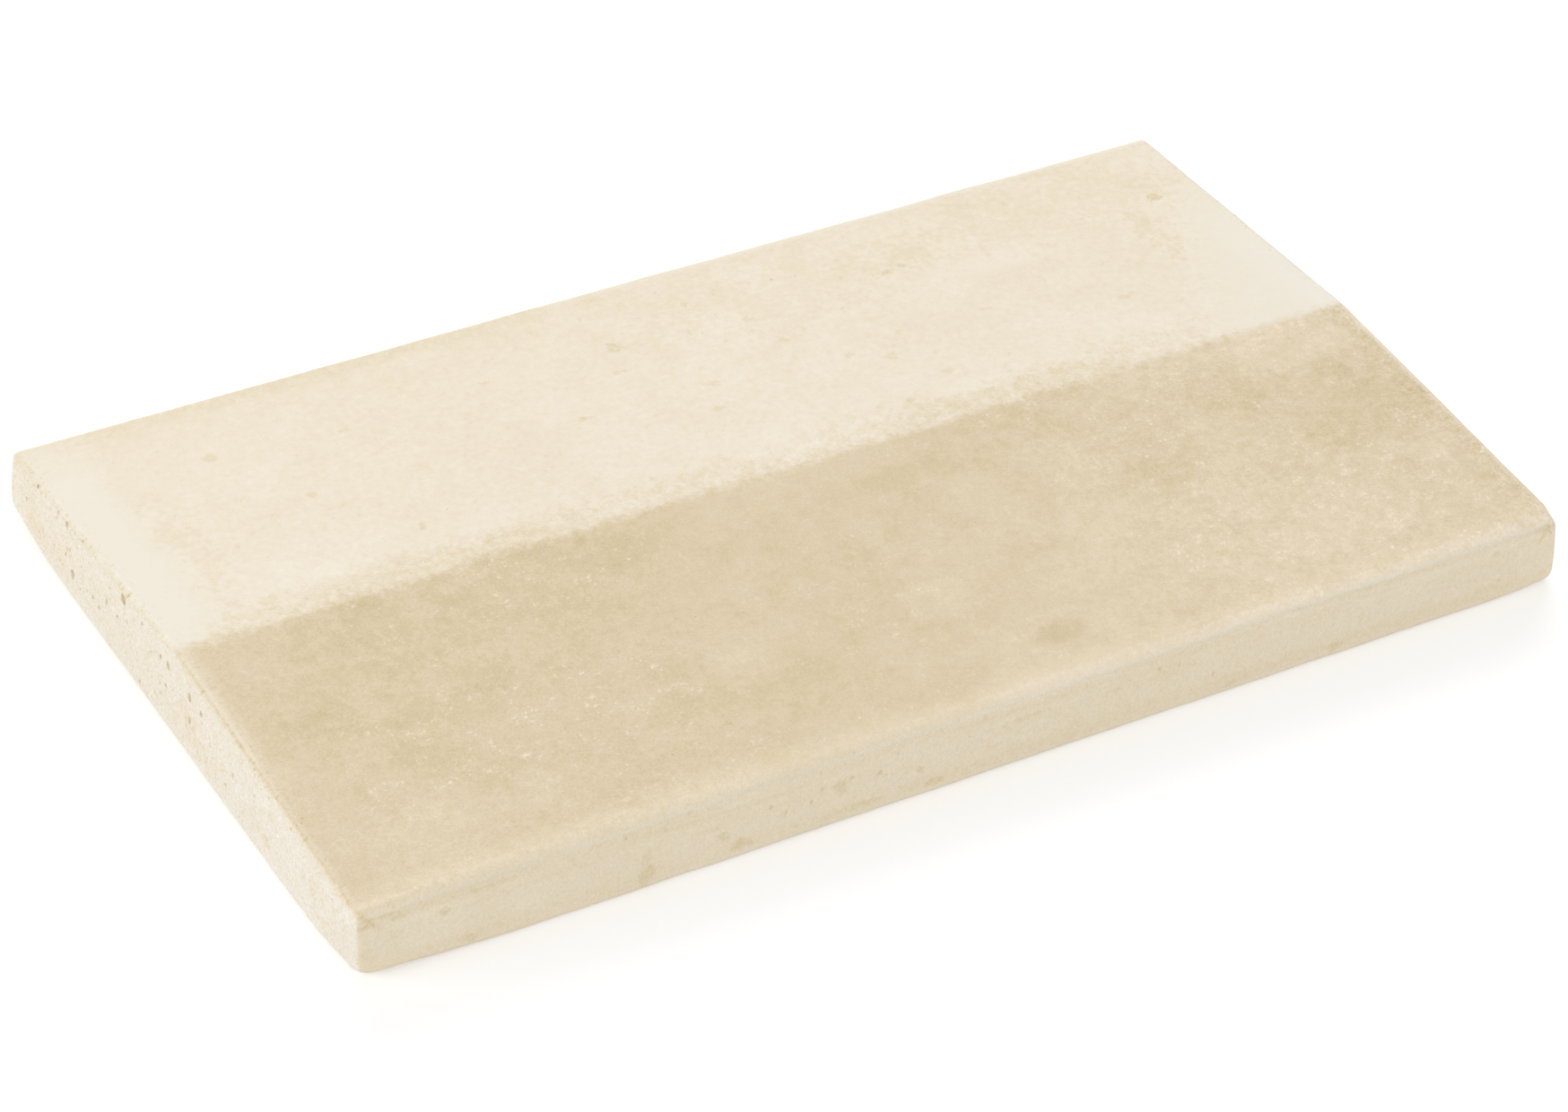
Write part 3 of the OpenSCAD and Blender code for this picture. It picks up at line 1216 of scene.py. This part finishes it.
    @staticmethod
    def add_ball(
        bm: bmesh.types.BMesh, centre: Vector, size: float, tall: float, rng: random.Random
    ) -> None:
        """Adds one uneven ball.

        Args:
            bm: The mesh to add it to.
            centre: Its centre.
            size: Its radius.
            tall: Height over width.
            rng: The source of chance.
        """
        turn = Matrix.Rotation(rng.uniform(0, math.tau), 4, rng.choice("XYZ"))
        stretch = Matrix.Diagonal((1.0, 1.0, tall * rng.uniform(0.85, 1.15), 1.0))
        place = Matrix.Translation(centre) @ stretch @ turn
        ball = bmesh.ops.create_icosphere(bm, subdivisions=2, radius=size, matrix=place)
        bumps, apart, height = 0.9, 900.0, 0.35
        for vert in ball["verts"]:
            ripple = noise.noise(vert.co / size * bumps + centre * apart)
            vert.co = centre + (vert.co - centre) * (1.0 + height * ripple)

    def build(self) -> bpy.types.Object:
        """Builds the slab with its pits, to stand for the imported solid.

        Returns:
            The finished object.
        """
        slab = self.body()
        tools = self.cutters()
        cut = slab.modifiers.new("pits", "BOOLEAN")
        cut.operation = "DIFFERENCE"
        cut.solver = "MANIFOLD"
        cut.object = tools
        apply_modifiers(slab)
        bpy.data.objects.remove(tools)
        slab.data.shade_smooth()
        slab.data.set_sharp_from_angle(angle=math.radians(self.sharp_angle))
        self.mark_hollows(slab.data)
        slab.data.materials.clear()
        slab.data.materials.append(Concrete(ConcreteFinish(), self).make())
        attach(slab, "root")
        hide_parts("coping")
        return slab


# --------------------------------------------------------------------------
# Mesh helpers
# --------------------------------------------------------------------------


def linked_object(name: str, bm: bmesh.types.BMesh) -> bpy.types.Object:
    """Turns a bmesh into an object of the scene.

    Args:
        name: The object's name.
        bm: The mesh, which is freed.

    Returns:
        The object, at the origin.
    """
    mesh = bpy.data.meshes.new(name)
    bm.to_mesh(mesh)
    bm.free()
    made = bpy.data.objects.new(name, mesh)
    bpy.context.scene.collection.objects.link(made)
    return made


def apply_modifiers(piece: bpy.types.Object) -> None:
    """Makes a piece's modifiers part of its mesh.

    Args:
        piece: The piece.
    """
    graph = bpy.context.evaluated_depsgraph_get()
    finished = bpy.data.meshes.new_from_object(piece.evaluated_get(graph))
    old = piece.data
    piece.modifiers.clear()
    piece.data = finished
    bpy.data.meshes.remove(old)


# --------------------------------------------------------------------------
# The studio
# --------------------------------------------------------------------------


@dataclass(frozen=True)
class Lamp:
    """A soft box that faces a point.

    Attributes:
        name: The lamp's name.
        turn: Compass angle of the lamp as seen from above; 0 is the front.
        lift: Angle above the floor.
        distance: Distance from the slab.
        size: Width and height of the box.
        power: Its power in watts.
    """

    name: str
    turn: float
    lift: float
    distance: float
    size: tuple[float, float]
    power: float


@dataclass(frozen=True)
class Studio:
    """Pale floor, soft boxes, even sky and the camera.

    Attributes:
        aim: The point that the camera looks at.
        camera_turn: Compass angle of the camera; 0 is the front.
        camera_lift: Angle of the camera above the floor.
        camera_roll: Turn of the camera about its line of sight.
        camera_distance: Distance of the camera from its aim.
        lens: Focal length in millimetres, on a sensor 36 mm wide.
        sky: Brightness of the even sky.
        floor_reach: Half the side of the floor.
        floor_paint: Colour of the floor.
        floor_glow: Light of its own where it is seen, which lifts it to white.
        lamps: The soft boxes.
    """

    aim: Vector = Vector((-18.48 * MM, -26.47 * MM, 20.0 * MM))
    camera_turn: float = -33.72
    camera_lift: float = 38.09
    camera_roll: float = 5.16
    camera_distance: float = 1.7808
    lens: float = 114.95
    sky: float = 0.536
    floor_reach: float = 6.0
    floor_paint: Colour = (0.9, 0.9, 0.9, 1.0)
    floor_glow: float = 0.32
    lamps: tuple[Lamp, ...] = (
        Lamp("left_window", 262.0, 20.0, 2.6, (1.6, 1.0), 24.8),
        Lamp("back_window", 152.0, 27.0, 4.2, (3.9, 1.45), 94.0),
        Lamp("front_window", 0.0, 10.0, 2.6, (2.2, 0.7), 20.1),
    )

    @staticmethod
    def direction(turn: float, lift: float) -> Vector:
        """Unit vector from the slab to a compass angle and a lift in degrees; 0, 0 is the front."""
        around, up = math.radians(turn), math.radians(lift)
        return Vector((math.sin(around) * math.cos(up), -math.cos(around) * math.cos(up), math.sin(up)))

    def place_camera(self) -> None:
        """Adds the camera and makes it the scene's."""
        data = bpy.data.cameras.new("camera")
        data.sensor_width = 36.0
        data.lens = self.lens
        camera = bpy.data.objects.new("camera", data)
        back = self.direction(self.camera_turn, self.camera_lift)
        right = Vector((0.0, 0.0, 1.0)).cross(back).normalized()
        level = Matrix((right, back.cross(right), back)).transposed().to_4x4()
        roll = Matrix.Rotation(math.radians(self.camera_roll), 4, "Z")
        camera.matrix_world = Matrix.Translation(self.aim + back * self.camera_distance) @ level @ roll
        bpy.context.scene.collection.objects.link(camera)
        bpy.context.scene.camera = camera

    def place_lamps(self) -> None:
        """Adds the soft boxes."""
        for lamp in self.lamps:
            data = bpy.data.lights.new(lamp.name, "AREA")
            data.shape = "RECTANGLE"
            data.size, data.size_y = lamp.size
            data.energy = lamp.power
            box = bpy.data.objects.new(lamp.name, data)
            towards = self.direction(lamp.turn, lamp.lift)
            facing = towards.to_track_quat("Z", "Y").to_matrix().to_4x4()
            box.matrix_world = Matrix.Translation(towards * lamp.distance) @ facing
            box.visible_camera = False
            bpy.context.scene.collection.objects.link(box)

    def light_sky(self) -> None:
        """Gives the world an even light, and white where it is seen."""
        world = bpy.data.worlds.new("studio")
        world.use_nodes = True
        bench = Bench(world.node_tree)
        lit = bench.node("ShaderNodeBackground", {}, {"Color": WHITE, "Strength": self.sky})
        seen = bench.node("ShaderNodeBackground", {}, {"Color": WHITE, "Strength": 1.0})
        inputs = {0: seen_rays(bench), 1: lit.outputs[0], 2: seen.outputs[0]}
        both = bench.node("ShaderNodeMixShader", {}, inputs)
        bench.node("ShaderNodeOutputWorld", {}, {"Surface": both.outputs[0]})
        bpy.context.scene.world = world

    def lay_floor(self, level: float) -> None:
        """Lays a pale floor that keeps the slab's shadow.

        Args:
            level: Height of the floor.
        """
        bm = bmesh.new()
        bmesh.ops.create_grid(bm, x_segments=1, y_segments=1, size=self.floor_reach)
        bmesh.ops.translate(bm, vec=(0.0, 0.0, level), verts=bm.verts)
        floor = linked_object("floor", bm)
        material = bpy.data.materials.new("pale_floor")
        material.use_nodes = True
        bench = Bench(material.node_tree)
        paint = bench.node("ShaderNodeBsdfDiffuse", {}, {"Color": self.floor_paint}).outputs[0]
        glow = bench.node("ShaderNodeEmission", {}, {"Color": WHITE, "Strength": self.floor_glow})
        lifted = bench.node("ShaderNodeAddShader", {}, {0: paint, 1: glow.outputs[0]}).outputs[0]
        inputs = {0: seen_rays(bench), 1: paint, 2: lifted}
        clear = bench.node("ShaderNodeMixShader", {}, inputs)
        bench.node("ShaderNodeOutputMaterial", {}, {"Surface": clear.outputs[0]})
        floor.data.materials.append(material)
        floor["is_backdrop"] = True

    def build(self, floor_level: float) -> None:
        """Sets up the whole studio.

        Args:
            floor_level: Height of the floor.
        """
        self.place_camera()
        self.place_lamps()
        self.light_sky()
        self.lay_floor(floor_level)
        bpy.context.scene.view_settings.view_transform = "Standard"


def seen_rays(bench: Bench) -> Wire:
    """1 for rays that show the studio itself: direct, mirrored or refracted.

    Args:
        bench: The bench of the material or world.

    Returns:
        The mask.
    """
    rays = bench.node("ShaderNodeLightPath", {}, {})
    camera = Wire(bench, rays.outputs["Is Camera Ray"])
    glossy = Wire(bench, rays.outputs["Is Glossy Ray"])
    refracted = Wire(bench, rays.outputs["Is Transmission Ray"])
    return camera.most(glossy).most(refracted)


def plain(box: Iterable[Iterable[float]]) -> list[list[float]]:
    """A box's corners as plain lists of numbers."""
    return [[float(value) for value in corner] for corner in box]


def main() -> None:
    """Builds the slab and its studio from the imported solid's box."""
    logging.basicConfig(level=logging.INFO, format="%(message)s")
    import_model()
    cad_box = plain(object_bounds())
    low, high = cad_box
    Studio().build(low[2])
    slab = Coping(length=high[0] - low[0], width=high[1] - low[1], top=high[2]).build()
    LOG.info("%s: %d faces", slab.name, len(slab.data.polygons))


if __name__ == "__main__":
    main()
